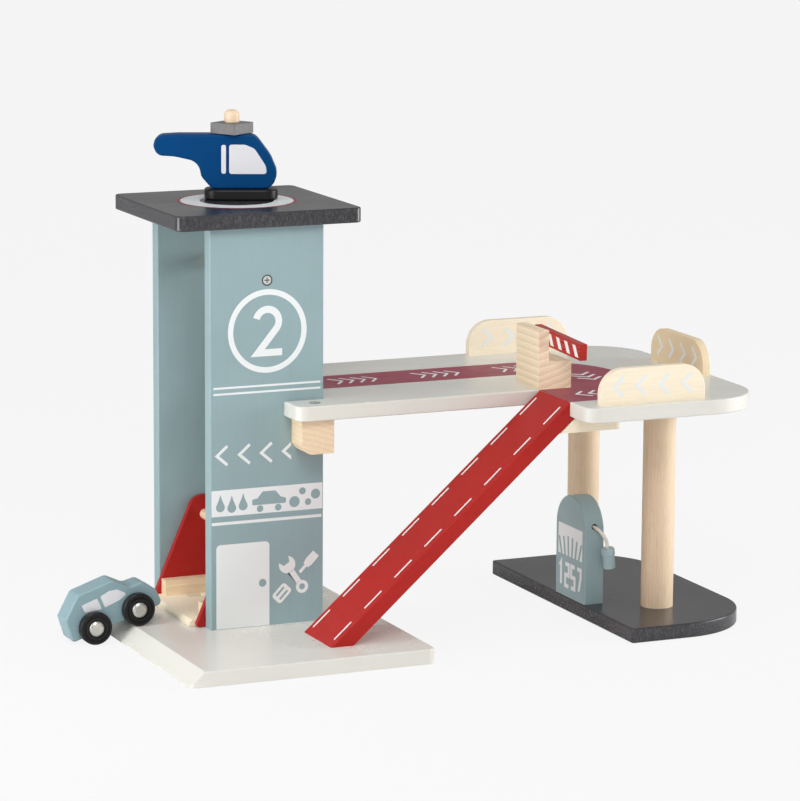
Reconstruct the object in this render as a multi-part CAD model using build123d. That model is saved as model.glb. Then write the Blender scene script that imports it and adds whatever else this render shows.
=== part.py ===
from build123d import *
import os
from math import acos, asin, atan2, cos, degrees, hypot, pi, radians, sin, tan

os.makedirs("parts", exist_ok=True)

# A wooden toy parking garage: a tower with a lift, a raised deck on two pillars, a ramp,
# a barrier, a fuel pump, a car and a helicopter. Millimetres, +Z up, +X from the tower to
# the far end of the deck, -Y towards the ramp side. The origin is the middle of the
# underside of the tower's base.

# ---- Clearances -----------------------------------------------------------------------
REST_GAP = 0.3          # between two pieces that only rest on or beside each other
SHAFT_GAP = 0.1         # round an axle, a pin or a mast that turns
SCREW_GAP = 0.1         # round a screw, a tenon or a peg that is driven home
LIFT_SIDE_GAP = 1.2     # between the cage and each tower panel
LIFT_DECK_GAP = 2.0     # between the cage and the end of the deck
NOTCH_GAP = 0.3         # between the deck and the panel in each of its notches
WHEEL_GAP = 0.8         # between the car's side and each wheel

# ---- Boards ---------------------------------------------------------------------------
BOARD_T = 15.0          # base, foot, deck and roof
BOARD_EDGE_R = 1.5      # softened edges of the painted boards

BASE_L = 255.0
BASE_W = 330.0
BASE_CORNER_R = 9.0
BASE_NOSE = 1.0         # blunt edge left under the drive-on bevel

FOOT_L = 152.0
FOOT_W = 330.0
FOOT_CORNER_R = 3.0
FAR_CORNER_R = 62.0     # large corners of the foot and of the platform above it
FOOT_OVERHANG = 1.0     # the foot reaches this far past the platform

# ---- Tower ----------------------------------------------------------------------------
PANEL_T = 15.0
PANEL_W = 120.0
PANEL_H = 400.0
PANEL_EDGE_R = 1.5
SHAFT_W = 132.0         # clear width between the two panels
TOWER_X = 10.0          # middle of the tower on the base
TOWER_Y = 66.0
ROOF_L = 194.0
ROOF_W = 185.0
ROOF_CORNER_R = 8.0
CROSS_DOWEL_D = 17.0
CROSS_DOWEL_DROP = 53.4  # from the top of the panels down to the dowel's axis

# ---- Screws ---------------------------------------------------------------------------
SCREW_HEAD_D = 9.0
SCREW_HEAD_H = 3.2
SCREW_D = 4.0
SCREW_L = 36.0
RECESS_L = 5.4          # cross recess in the head
RECESS_W = 1.1
RECESS_DEEP = 1.8

# ---- Deck -----------------------------------------------------------------------------
DECK_CLEAR = 225.0      # from the ground to the underside of the deck
ARM_REACH = 42.0        # the two arms lie along the tower panels this far
ARM_FRONT_W = 37.0
ARM_BACK_W = 22.0
ARM_CORNER_R = 11.0
NECK_L = 218.0          # from the tower to the platform
PLATFORM_L = 202.0
PLATFORM_W = 336.0
PLATFORM_NEAR_R = 15.0
BRACKET_L = 34.0
BRACKET_H = 35.0
BRACKET_FRONT_W = 27.5
BRACKET_BACK_W = 20.0
BRACKET_R = 12.0

# ---- Pillars --------------------------------------------------------------------------
PILLAR_D = 33.0
PILLAR_SPACING = 171.0
PILLAR_FAR_INSET = 82.2    # from the platform's far end to the pillars' axes
PILLAR_FRONT_INSET = 81.2  # from its front edge to the front pillar's axis
TENON_D = 14.0
TENON_L = 9.0

# ---- Ramp and the two spacers under the platform --------------------------------------
RAMP_W = 70.0
RAMP_RUN = 254.5
RAMP_T = 16.4
RAMP_SIDE_GAP = 2.0     # between the ramp and the deck's neck
RAMP_END_GAP = 0.5      # between the ramp and the platform
RAMP_LIP = 5.0          # the lip that reaches under the platform
SPACER_T = 8.0
SPACER_REACH = 57.0     # the spacers end this far under the platform
SPACER_CORNER_R = 6.0

# ---- Rails ----------------------------------------------------------------------------
RAIL_L = 115.0
RAIL_H = 36.0
RAIL_T = 9.0
RAIL_R = 25.0
RAIL_EDGE_R = 1.0
RAIL_BACK_INSET = 5.6
RAIL_FRONT_INSET = 11.0
RAIL_FAR_INSET = 6.7
RAIL_NEAR_OFFSET = 18.0  # from the platform's near edge to the front and back rails
FAR_RAIL_OFFSET = 6.5    # from the middle of the platform to the middle of the far rail

# ---- Barrier --------------------------------------------------------------------------
POST_L = 36.0
POST_W = 53.0
POST_H = 60.0
POST_COLUMN_L = 11.0
POST_STEP_H = 28.0
POST_EDGE_R = 1.0
ARM_L = 103.0
ARM_H = 16.5
ARM_T = 8.0
ARM_PIVOT_IN = 10.4     # from the arm's rear end to its pivot
ARM_PIVOT_Z = 51.8      # pivot above the deck
ARM_PIVOT_Y = 24.0      # pivot behind the post's front face
ARM_DROOP = 2.4         # degrees below level at rest
ARM_EDGE_R = 0.8
PIN_D = 5.0
PIN_HEAD_D = 9.0
PIN_HEAD_H = 2.2
PIN_HEAD_R = 1.8
PIN_SEAT = 8.0          # depth of the pin in the column

# ---- Lift -----------------------------------------------------------------------------
LIFT_OFFSET = -13.0     # the cage's middle from the tower's middle
LIFT_L = 114.0
LIFT_PLATE_T = 6.0
LIFT_DOWEL_Z = 86.0     # dowel's axis above the underside of the cage
LIFT_APEX_R = 20.0
LIFT_FOOT_R = 3.0
LIFT_EDGE_R = 0.8
LIFT_DOWEL_D = 10.5
FLOOR_T = 6.5
FLOOR_LIP = 4.0         # the floor sticks out this far at the open end
FLOOR_BEVEL = 3.0
CURB_L = 94.0
CURB_W = 12.0
CURB_H = 16.0
SLOT_L = 17.0           # slot through the floor beside the back curb
SLOT_W = 12.0
SLOT_OFFSET = 17.5      # slot's middle from the cage's middle

# ---- Fuel pump ------------------------------------------------------------------------
PUMP_T = 21.5
PUMP_W = 67.0
PUMP_H = 107.0
PUMP_EDGE_R = 1.5
PUMP_INSET = 0.5        # from the foot's near edge
PUMP_FRONT = 109.0      # from the foot's front edge to the pump's front
HOSE_D = 3.5
HOSE_Z = 80.0           # hose above the foot board
HOSE_HOLE_D = 6.5
HOSE_SEAT = 8.0         # depth of the hose in the pump
NOZZLE_D = 14.0
NOZZLE_L = 21.5
NOZZLE_SEAT = 7.4       # depth of the hose in the nozzle
NOZZLE_HEAD = 6.9        # full thickness from the hose's end down to the waist
NOZZLE_WAIST = 0.8       # the lower part is slimmer by this much all round
NOZZLE_EDGE_R = 1.5
# The hose's route from its seat in the pump: each point from the seat, along X, Y and Z.
HOSE_ROUTE = [
    (0.0, 0.0, 0.0),
    (0.0, -12.0, 0.0),
    (2.6, -18.2, -3.8),
    (6.3, -21.0, -10.0),
    (8.3, -20.4, -17.2),
    (9.8, -19.6, -27.0),
]
HOSE_TURN_SHARE = 0.45  # share of the shorter run that an arc takes

# ---- Car ------------------------------------------------------------------------------
CAR_ON_BASE = 18.8      # front axle this far in from the base's near end
CAR_Y = 50.5
WHEEL_D = 33.0
WHEEL_T = 8.5
WHEELBASE = 47.5
CAR_W = 27.0
CAR_EDGE_R = 2.0
AXLE_D = 3.6
AXLE_IN_WHEEL = 5.0
CAP_D = 15.0
CAP_H = 3.2
CAP_RIM = 1.6
CAP_SHOULDER = 2.2
HUB_D = 19.0            # shallow seat for the cap in the wheel's outer face
HUB_DEEP = 1.2
TYRE_GROOVE_IN = 11.3
TYRE_GROOVE_OUT = 13.6
TYRE_GROOVE_SLOPE = 0.6
TYRE_GROOVE_DEEP = 1.0
TYRE_EDGE_R = 1.6
# Side view from the rear axle, with the radius of each corner: tail, roof, bonnet, nose.
CAR_OUTLINE = [
    (-25.5, -7.0, 4.0),
    (-25.2, 17.5, 5.0),
    (-5.0, 36.6, 6.0),
    (33.5, 37.0, 7.0),
    (48.0, 23.4, 9.0),
    (62.0, 22.6, 7.0),
    (72.5, 10.0, 8.0),
    (74.5, -7.0, 5.0),
]

# ---- Helicopter -----------------------------------------------------------------------
HELI_X = 4.9            # from the tower's middle
HELI_Y = 12.0
HELI_YAW = -22.0
HELI_T = 21.0
HELI_EDGE_R = 2.0
SKID_L = 73.0
SKID_W = 34.0
SKID_H = 10.6
SKID_CORNER_R = 14.0
SKID_EDGE_R = 2.0
SKID_OFFSET = 4.0       # skid's middle ahead of the helicopter's own origin
ROTOR_SIDE = 31.0
ROTOR_H = 10.7
ROTOR_CORNER_R = 1.2
ROTOR_EDGE_R = 0.5
ROTOR_YAW = -36.0
MAST_X = -5.0
MAST_D = 6.0
MAST_SEAT = 14.0
MAST_HEAD_D = 15.0
MAST_HEAD_H = 12.2
MAST_HEAD_R = 5.0
HELI_TOP_Z = 54.6       # cabin roof above the skid
# Side view from the helicopter's origin on top of the skid, with the radius of each
# corner: belly, waist, tail, roof, nose, chin.
HELI_OUTLINE = [
    (-31.5, 0.0, 9.0),
    (-38.0, 25.0, 13.0),
    (-79.5, 33.6, 5.0),
    (-83.0, 46.5, 4.5),
    (-60.0, HELI_TOP_Z, 20.0),
    (17.0, HELI_TOP_Z, 9.0),
    (33.0, 33.0, 18.0),
    (41.0, 14.0, 8.0),
    (36.5, 0.0, 7.0),
]

# ---- Worked out from the sizes above --------------------------------------------------
TOWER_RIGHT = TOWER_X + PANEL_W / 2
FRONT_IN = TOWER_Y - SHAFT_W / 2
FRONT_OUT = FRONT_IN - PANEL_T
BACK_IN = TOWER_Y + SHAFT_W / 2
BACK_OUT = BACK_IN + PANEL_T
PANEL_TOP = BOARD_T + PANEL_H
ROOF_TOP = PANEL_TOP + BOARD_T
CROSS_DOWEL_Z = PANEL_TOP - CROSS_DOWEL_DROP

DECK_TOP = DECK_CLEAR + BOARD_T
ARM_END = TOWER_RIGHT - ARM_REACH
DECK_FRONT = FRONT_OUT - ARM_FRONT_W
DECK_BACK = BACK_OUT + ARM_BACK_W
PLATFORM_X = TOWER_RIGHT + NECK_L
PLATFORM_FAR = PLATFORM_X + PLATFORM_L
PLATFORM_FRONT = DECK_BACK - PLATFORM_W
BRACKET_X = TOWER_RIGHT - BRACKET_L / 2

FOOT_FAR = PLATFORM_FAR + FOOT_OVERHANG
FOOT_X = FOOT_FAR - FOOT_L
PILLAR_X = PLATFORM_FAR - PILLAR_FAR_INSET
PILLAR_YS = {
    "front": PLATFORM_FRONT + PILLAR_FRONT_INSET,
    "rear": PLATFORM_FRONT + PILLAR_FRONT_INSET + PILLAR_SPACING,
}

RAMP_TOP_X = PLATFORM_X - RAMP_END_GAP
RAMP_RISE = DECK_TOP - BOARD_T
RAMP_SLOPE = atan2(RAMP_RISE, RAMP_RUN)
RAMP_INNER = DECK_FRONT - RAMP_SIDE_GAP
RAMP_OUTER = RAMP_INNER - RAMP_W

LIFT_X = TOWER_X + LIFT_OFFSET
LIFT_BOTTOM = BOARD_T + REST_GAP
LIFT_FRONT = FRONT_IN + LIFT_SIDE_GAP
LIFT_BACK = BACK_IN - LIFT_SIDE_GAP
LIFT_RIGHT = LIFT_X + LIFT_L / 2
FLOOR_TOP = LIFT_BOTTOM + FLOOR_T
LIFT_TRAVEL = DECK_TOP - FLOOR_TOP
TONGUE_END = LIFT_RIGHT + LIFT_DECK_GAP

POST_BACK = DECK_FRONT + POST_W
ARM_X = PLATFORM_X + POST_COLUMN_L + REST_GAP
PIVOT_Y = DECK_FRONT + ARM_PIVOT_Y
PIVOT_Z = DECK_TOP + ARM_PIVOT_Z

PUMP_X = FOOT_X + PUMP_INSET
PUMP_FRONT_Y = PLATFORM_FRONT + PUMP_FRONT

WHEEL_R = WHEEL_D / 2
CAR_PITCH = degrees(asin(BOARD_T / WHEELBASE))
CAR_FRONT = Vector(CAR_ON_BASE - BASE_L / 2, CAR_Y, BOARD_T + WHEEL_R + REST_GAP)
CAR_REAR = CAR_FRONT - Vector(WHEELBASE * cos(radians(CAR_PITCH)), 0, BOARD_T)
HELI_PLACE = Pos(TOWER_X + HELI_X, TOWER_Y + HELI_Y, ROOF_TOP + REST_GAP) * Rot(0, 0, HELI_YAW)


# ---- Helpers --------------------------------------------------------------------------
def save(node, solid):
    """Write one sub-part under its node name."""
    solid.label = node
    export_step(solid, f"parts/{node}.step")


def span(x0, x1, y0, y1, z0, z1):
    """A box between two corners."""
    middle = Pos((x0 + x1) / 2, (y0 + y1) / 2, (z0 + z1) / 2)
    return middle * Box(x1 - x0, y1 - y0, z1 - z0)


def outline(points, radii, plane=Plane.XY):
    """A face inside straight runs whose corners are rounded one by one."""
    return plane * make_face(FilletPolyline(*points, radius=radii, close=True))


def board(points, radii, bottom, thickness, edge_r):
    """A flat board with rounded corners and softened upper and lower edges."""
    face = Pos(0, 0, bottom) * outline(points, radii)
    solid = extrude(face, amount=thickness)
    rims = solid.faces().sort_by(Axis.Z)
    return fillet(rims[0].edges() + rims[-1].edges(), edge_r)


def side_view(points, radii, y0, y1):
    """A solid with the given outline in XZ, between two places along Y."""
    face = Plane.XZ.offset(-y1) * outline(points, radii)
    return extrude(face, amount=y1 - y0)


def facing(point, outward):
    """A place whose Z axis points out of a surface."""
    return Plane(origin=point, z_dir=outward).location


def screw_profile(gap):
    """Half section of a countersunk screw, widened by a gap all round."""
    head_r = SCREW_HEAD_D / 2
    shank_r = SCREW_D / 2 + gap
    cone = head_r + gap
    points = [(0, 0), (cone, 0), (shank_r, -SCREW_HEAD_H - gap), (shank_r, -SCREW_L - gap)]
    points.append((0, -SCREW_L - gap))
    return Plane.XZ * make_face(Polyline(*points, close=True))


def screw(place):
    """Countersunk screw with a cross recess, its head flush at the place."""
    body = revolve(screw_profile(0), Axis.Z)
    for turn in (0, 90):
        body -= Rot(0, 0, turn) * Box(RECESS_L, RECESS_W, 2 * RECESS_DEEP)
    return place * body


def screw_hole(place):
    return place * revolve(screw_profile(SCREW_GAP), Axis.Z)


# ---- Where the screws sit -------------------------------------------------------------
TOWER_SCREWS = {
    "front": facing((TOWER_X, FRONT_OUT, CROSS_DOWEL_Z), (0, -1, 0)),
    "back": facing((TOWER_X, BACK_OUT, CROSS_DOWEL_Z), (0, 1, 0)),
}
DECK_SCREWS = {
    "front": facing((BRACKET_X, (DECK_FRONT + FRONT_OUT) / 2, DECK_TOP), (0, 0, 1)),
    "back": facing((BRACKET_X, (DECK_BACK + BACK_OUT) / 2, DECK_TOP), (0, 0, 1)),
}


# ---- Base, foot and pillars -----------------------------------------------------------
def base_board():
    x, y = BASE_L / 2, BASE_W / 2
    corners = [(-x, -y), (x, -y), (x, y), (-x, y)]
    solid = extrude(outline(corners, BASE_CORNER_R), amount=BOARD_T)
    bevel_run = BOARD_T
    points = [(-x - 1, BASE_NOSE), (-x, BASE_NOSE), (-x + bevel_run, BOARD_T)]
    points += [(-x + bevel_run, BOARD_T + 1), (-x - 1, BOARD_T + 1)]
    solid -= side_view(points, 0, -y - 1, y + 1)
    rim = solid.faces().sort_by(Axis.Z)[-1].edges()
    return fillet(rim, BOARD_EDGE_R)


def pillar_tenon(y, bottom, gap):
    """The turned end of a pillar, or with a gap the hole that takes it."""
    length = TENON_L + gap
    return Pos(PILLAR_X, y, bottom + length / 2) * Cylinder(TENON_D / 2 + gap, length)


def foot_board():
    front = PLATFORM_FRONT
    corners = [(FOOT_X, front), (FOOT_FAR, front)]
    corners += [(FOOT_FAR, front + FOOT_W), (FOOT_X, front + FOOT_W)]
    radii = [FOOT_CORNER_R, FAR_CORNER_R, FAR_CORNER_R, FOOT_CORNER_R]
    solid = board(corners, radii, 0, BOARD_T, BOARD_EDGE_R)
    for y in PILLAR_YS.values():
        solid -= pillar_tenon(y, BOARD_T - TENON_L - SCREW_GAP, SCREW_GAP)
    return solid


def pillar(y):
    length = DECK_CLEAR - BOARD_T
    solid = Pos(PILLAR_X, y, BOARD_T + length / 2) * Cylinder(PILLAR_D / 2, length)
    solid += pillar_tenon(y, BOARD_T - TENON_L, 0)
    solid += pillar_tenon(y, DECK_CLEAR, 0)
    return solid


# ---- Tower ----------------------------------------------------------------------------
def tower_panel(y0, y1, hole):
    x0, x1 = TOWER_X - PANEL_W / 2, TOWER_X + PANEL_W / 2
    solid = span(x0, x1, y0, y1, BOARD_T, PANEL_TOP)
    solid = fillet(solid.edges().filter_by(Axis.Z), PANEL_EDGE_R)
    return solid - hole


def roof_board():
    x, y = ROOF_L / 2, ROOF_W / 2
    corners = [(-x, -y), (x, -y), (x, y), (-x, y)]
    return Pos(TOWER_X, TOWER_Y) * board(corners, ROOF_CORNER_R, PANEL_TOP, BOARD_T, BOARD_EDGE_R)


def cross_dowel():
    dowel = Rot(90, 0, 0) * Cylinder(CROSS_DOWEL_D / 2, SHAFT_W)
    solid = Pos(TOWER_X, TOWER_Y, CROSS_DOWEL_Z) * dowel
    for place in TOWER_SCREWS.values():
        solid -= screw_hole(place)
    return solid


# ---- Deck -----------------------------------------------------------------------------
def deck_board():
    """Platform, neck and two arms in one board, notched round both tower panels."""
    notch_end = TOWER_RIGHT + NOTCH_GAP
    run = [
        (ARM_END, DECK_FRONT, ARM_CORNER_R),
        (PLATFORM_X, DECK_FRONT, 0),
        (PLATFORM_X, PLATFORM_FRONT, PLATFORM_NEAR_R),
        (PLATFORM_FAR, PLATFORM_FRONT, FAR_CORNER_R),
        (PLATFORM_FAR, DECK_BACK, FAR_CORNER_R),
        (ARM_END, DECK_BACK, ARM_CORNER_R),
        (ARM_END, BACK_OUT + NOTCH_GAP, 0),
        (notch_end, BACK_OUT + NOTCH_GAP, 0),
        (notch_end, BACK_IN - NOTCH_GAP, 0),
        (TONGUE_END, BACK_IN - NOTCH_GAP, 0),
        (TONGUE_END, FRONT_IN + NOTCH_GAP, 0),
        (notch_end, FRONT_IN + NOTCH_GAP, 0),
        (notch_end, FRONT_OUT - NOTCH_GAP, 0),
        (ARM_END, FRONT_OUT - NOTCH_GAP, 0),
    ]
    points = [(x, y) for x, y, _ in run]
    solid = board(points, [r for _, _, r in run], DECK_CLEAR, BOARD_T, BOARD_EDGE_R)
    for y in PILLAR_YS.values():
        solid -= pillar_tenon(y, DECK_CLEAR, SCREW_GAP)
    for place in DECK_SCREWS.values():
        solid -= screw_hole(place)
    return solid


def deck_bracket(y0, y1, place):
    x0, x1 = TOWER_RIGHT - BRACKET_L, TOWER_RIGHT
    z0, z1 = DECK_CLEAR - BRACKET_H, DECK_CLEAR
    points = [(x0, z0), (x1, z0), (x1, z1), (x0, z1)]
    block = side_view(points, [BRACKET_R, 0, 0, 0], y0, y1)
    return block - screw_hole(place)


# ---- Ramp -----------------------------------------------------------------------------
def under_ramp(z, gap=0.0):
    """X of the ramp's underside at a height, moved away from it by a gap."""
    offset = (RAMP_T + gap) / sin(RAMP_SLOPE)
    return RAMP_TOP_X - (DECK_TOP - z) / tan(RAMP_SLOPE) + offset


def ramp():
    """Sloping board with a flat foot, an upright end and a lip under the platform."""
    lip_top = DECK_CLEAR - REST_GAP
    lip_end = RAMP_TOP_X + RAMP_LIP
    lip_low = DECK_TOP - (under_ramp(DECK_TOP) - lip_end) * tan(RAMP_SLOPE)
    points = [(RAMP_TOP_X, DECK_TOP), (RAMP_TOP_X - RAMP_RUN, BOARD_T)]
    points += [(under_ramp(BOARD_T), BOARD_T), (lip_end, lip_low)]
    points += [(lip_end, lip_top), (RAMP_TOP_X, lip_top)]
    solid = side_view(points, 0, RAMP_OUTER, RAMP_INNER)
    edges = solid.edges().filter_by(lambda edge: edge.length > RAMP_RUN)
    return fillet(edges, BOARD_EDGE_R)


def ramp_spacer(top):
    """Plywood strip under the platform, its end cut to the slope of the ramp."""
    x1 = PLATFORM_X + SPACER_REACH
    points = [(under_ramp(top - SPACER_T, REST_GAP), top - SPACER_T), (x1, top - SPACER_T)]
    points += [(x1, top), (under_ramp(top, REST_GAP), top)]
    solid = side_view(points, 0, RAMP_OUTER, RAMP_INNER)
    corners = solid.edges().filter_by(Axis.Z).filter_by_position(Axis.X, x1 - 1, x1 + 1)
    return fillet(corners, SPACER_CORNER_R)


# ---- Rails ----------------------------------------------------------------------------
def rail():
    """Low plywood rail with two round upper corners, standing on the XZ plane's X axis."""
    x = RAIL_L / 2
    points = [(-x, 0), (x, 0), (x, RAIL_H), (-x, RAIL_H)]
    solid = side_view(points, [0, 0, RAIL_R, RAIL_R], 0, RAIL_T)
    top = solid.edges().filter_by(lambda edge: edge.center().Z > RAIL_H / 2)
    rims = top.filter_by(lambda edge: abs(edge.center().Y - RAIL_T / 2) > RAIL_T / 4)
    return fillet(rims, RAIL_EDGE_R)


def rails():
    x = PLATFORM_X + RAIL_NEAR_OFFSET + RAIL_L / 2
    y = (PLATFORM_FRONT + DECK_BACK) / 2 + FAR_RAIL_OFFSET
    return {
        "rail_front": Pos(x, PLATFORM_FRONT + RAIL_FRONT_INSET, DECK_TOP) * rail(),
        "rail_back": Pos(x, DECK_BACK - RAIL_BACK_INSET - RAIL_T, DECK_TOP) * rail(),
        "rail_far": Pos(PLATFORM_FAR - RAIL_FAR_INSET, y, DECK_TOP) * Rot(0, 0, 90) * rail(),
    }


# ---- Barrier --------------------------------------------------------------------------
def barrier_post():
    """Stepped block: a thin column over its full height and a low step beside it."""
    step_x = PLATFORM_X + POST_COLUMN_L
    far_x = PLATFORM_X + POST_L
    step_z = DECK_TOP + POST_STEP_H
    top = DECK_TOP + POST_H
    points = [(PLATFORM_X, DECK_TOP), (far_x, DECK_TOP), (far_x, step_z)]
    points += [(step_x, step_z), (step_x, top), (PLATFORM_X, top)]
    radii = [0, 0, POST_EDGE_R, 0, POST_EDGE_R, POST_EDGE_R]
    solid = side_view(points, radii, DECK_FRONT, POST_BACK)
    bore = Cylinder(PIN_D / 2 + SCREW_GAP, PIN_SEAT + SCREW_GAP)
    x = step_x - (PIN_SEAT + SCREW_GAP) / 2
    return solid - Pos(x, PIVOT_Y, PIVOT_Z) * Rot(0, 90, 0) * bore


def barrier_arm():
    front, rear = ARM_PIVOT_IN - ARM_L, ARM_PIVOT_IN
    solid = span(0, ARM_T, front, rear, -ARM_H / 2, ARM_H / 2)
    solid = fillet(solid.edges().filter_by(Axis.Y), ARM_EDGE_R)
    solid -= Rot(0, 90, 0) * Cylinder(PIN_D / 2 + SHAFT_GAP, 3 * ARM_T)
    return Pos(ARM_X, PIVOT_Y, PIVOT_Z) * Rot(ARM_DROOP, 0, 0) * solid


def barrier_pin():
    """Round-headed pin from the far side of the arm into the column."""
    seat = PLATFORM_X + POST_COLUMN_L - PIN_SEAT
    shoulder = ARM_X + ARM_T + REST_GAP - seat
    shank_r, head_r = PIN_D / 2, PIN_HEAD_D / 2
    top = shoulder + PIN_HEAD_H
    points = [(0, 0), (shank_r, 0), (shank_r, shoulder), (head_r, shoulder), (head_r, top), (0, top)]
    pin = revolve(outline(points, [0, 0, 0, 0, PIN_HEAD_R, 0], Plane.XZ), Axis.Z)
    return Pos(seat, PIVOT_Y, PIVOT_Z) * Rot(0, 90, 0) * pin


# ---- Lift -----------------------------------------------------------------------------
def lift_plate(y):
    """Tapered cage side: two slanted edges that run into a round apex about the dowel."""
    half = LIFT_L / 2
    reach = hypot(half, LIFT_DOWEL_Z)
    swing = atan2(LIFT_DOWEL_Z, half) - (pi / 2 - acos(LIFT_APEX_R / reach))
    normal = pi / 2 - swing
    touch = Vector(LIFT_APEX_R * cos(normal), LIFT_APEX_R * sin(normal))
    left = (-touch.X, LIFT_DOWEL_Z + touch.Y)
    right = (touch.X, LIFT_DOWEL_Z + touch.Y)
    sides = Polyline(left, (-half, 0), (half, 0), right)
    apex = ThreePointArc(right, (0, LIFT_DOWEL_Z + LIFT_APEX_R), left)
    face = Plane.XZ * make_face(sides + apex)
    solid = extrude(face, amount=-LIFT_PLATE_T)
    feet = solid.edges().filter_by(Axis.Y).group_by(Axis.Z)[0]
    solid = fillet(feet, LIFT_FOOT_R)
    solid = fillet(solid.faces().filter_by(Axis.Y).edges(), LIFT_EDGE_R)
    return Pos(LIFT_X, y, LIFT_BOTTOM) * solid


def lift_floor():
    x0 = LIFT_X - LIFT_L / 2 - FLOOR_LIP
    points = [(x0, LIFT_BOTTOM), (LIFT_RIGHT, LIFT_BOTTOM), (LIFT_RIGHT, FLOOR_TOP)]
    points += [(x0 + FLOOR_BEVEL, FLOOR_TOP), (x0, FLOOR_TOP - FLOOR_BEVEL)]
    back = LIFT_BACK - LIFT_PLATE_T
    solid = side_view(points, 0, LIFT_FRONT + LIFT_PLATE_T, back)
    slot_back = back - CURB_W
    slot = Box(SLOT_L, SLOT_W, 3 * FLOOR_T)
    return solid - Pos(LIFT_X - SLOT_OFFSET, slot_back - SLOT_W / 2, FLOOR_TOP) * slot


def lift_curb(y0, y1):
    x0, x1 = LIFT_X - CURB_L / 2, LIFT_X + CURB_L / 2
    return span(x0, x1, y0, y1, FLOOR_TOP, FLOOR_TOP + CURB_H)


def lift_dowel():
    length = LIFT_BACK - LIFT_FRONT - 2 * LIFT_PLATE_T
    dowel = Rot(90, 0, 0) * Cylinder(LIFT_DOWEL_D / 2, length)
    return Pos(LIFT_X, TOWER_Y, LIFT_BOTTOM + LIFT_DOWEL_Z) * dowel


# ---- Fuel pump ------------------------------------------------------------------------
def hose_points():
    start = Vector(PUMP_X + PUMP_T / 2, PUMP_FRONT_Y + HOSE_SEAT, BOARD_T + HOSE_Z)
    return [start + Vector(*step) for step in HOSE_ROUTE]


def hose_radii(points):
    """Radius of the arc at each inner point of the route."""
    radii = []
    for before, here, after in zip(points, points[1:], points[2:]):
        run_in, run_out = here - before, after - here
        turn = radians(run_in.get_angle(run_out))
        shorter = min(run_in.length, run_out.length)
        radii.append(HOSE_TURN_SHARE * shorter / tan(turn / 2))
    return radii


def hose_end():
    """The place of the hose's lower end, with its Z axis back up along the hose."""
    points = hose_points()
    return Plane(origin=points[-1], z_dir=points[-2] - points[-1]).location


def pump_body():
    """Upright slab whose top is a full half round."""
    y0, y1 = PUMP_FRONT_Y, PUMP_FRONT_Y + PUMP_W
    round_z = BOARD_T + PUMP_H - PUMP_W / 2
    sides = Polyline((y0, round_z), (y0, BOARD_T), (y1, BOARD_T), (y1, round_z))
    crown = ThreePointArc((y1, round_z), ((y0 + y1) / 2, BOARD_T + PUMP_H), (y0, round_z))
    face = Plane.YZ.offset(PUMP_X) * make_face(sides + crown)
    solid = extrude(face, amount=PUMP_T)
    rims = solid.faces().filter_by(Axis.X).edges().filter_by(lambda edge: edge.center().Z > BOARD_T + 1)
    solid = fillet(rims, PUMP_EDGE_R)
    seat = hose_points()[0]
    bore = Rot(90, 0, 0) * Cylinder(HOSE_HOLE_D / 2, 2 * HOSE_SEAT)
    return solid - Pos(seat.X, seat.Y - HOSE_SEAT, seat.Z) * bore


def pump_hose():
    points = hose_points()
    radii = hose_radii(points)
    print("hose radii", [round(radius, 2) for radius in radii])
    path = FilletPolyline(*points, radius=radii)
    start = Plane(origin=points[0], z_dir=points[1] - points[0])
    tube = sweep(start * Circle(HOSE_D / 2), path=path)
    expected = pi * (HOSE_D / 2) ** 2 * path.length
    print("hose length", round(path.length, 2), "volume share", round(tube.volume / expected, 5))
    return tube


def pump_nozzle():
    """Turned grip on the end of the hose, with a groove round its middle."""
    r = NOZZLE_D / 2
    top = NOZZLE_SEAT
    low = top - NOZZLE_L
    groove_r = r - NOZZLE_WAIST
    bore = HOSE_D / 2 + SHAFT_GAP
    points = [(0, 0), (bore, 0), (bore, top), (r, top)]
    points += [(r, top - NOZZLE_HEAD), (groove_r, top - NOZZLE_HEAD - NOZZLE_WAIST)]
    points += [(groove_r, low), (0, low)]
    radii = [0, 0, 0, NOZZLE_EDGE_R, 0, 0, NOZZLE_WAIST, 0]
    return hose_end() * revolve(outline(points, radii, Plane.XZ), Axis.Z)


# ---- Car ------------------------------------------------------------------------------
def car_place():
    return Pos(CAR_REAR) * Rot(0, -CAR_PITCH, 0)


def car_body():
    points = [(x, z) for x, z, _ in CAR_OUTLINE]
    solid = side_view(points, [r for _, _, r in CAR_OUTLINE], -CAR_W / 2, CAR_W / 2)
    rims = solid.faces().filter_by(Axis.Y).edges()
    solid = fillet(rims, CAR_EDGE_R)
    for x in (0, WHEELBASE):
        solid -= Pos(x, 0, 0) * Rot(90, 0, 0) * Cylinder(AXLE_D / 2 + SHAFT_GAP, 2 * CAR_W)
    return car_place() * solid


def wheel():
    """Tyre and disc in one, turned: round shoulder, a ring groove and a seat for the cap."""
    bore, hub_r, seat = AXLE_D / 2 + SCREW_GAP, HUB_D / 2, WHEEL_T - HUB_DEEP
    points = [(bore, 0), (WHEEL_R, 0), (WHEEL_R, WHEEL_T), (TYRE_GROOVE_OUT, WHEEL_T)]
    points += [(TYRE_GROOVE_OUT - TYRE_GROOVE_SLOPE, WHEEL_T - TYRE_GROOVE_DEEP)]
    points += [(TYRE_GROOVE_IN + TYRE_GROOVE_SLOPE, WHEEL_T - TYRE_GROOVE_DEEP), (TYRE_GROOVE_IN, WHEEL_T)]
    points += [(hub_r, WHEEL_T), (hub_r, seat), (0, seat)]
    points += [(0, AXLE_IN_WHEEL), (bore, AXLE_IN_WHEEL)]
    radii = [0, TYRE_EDGE_R, TYRE_EDGE_R] + [0] * 9
    return revolve(outline(points, radii, Plane.XZ), Axis.Z)


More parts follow.
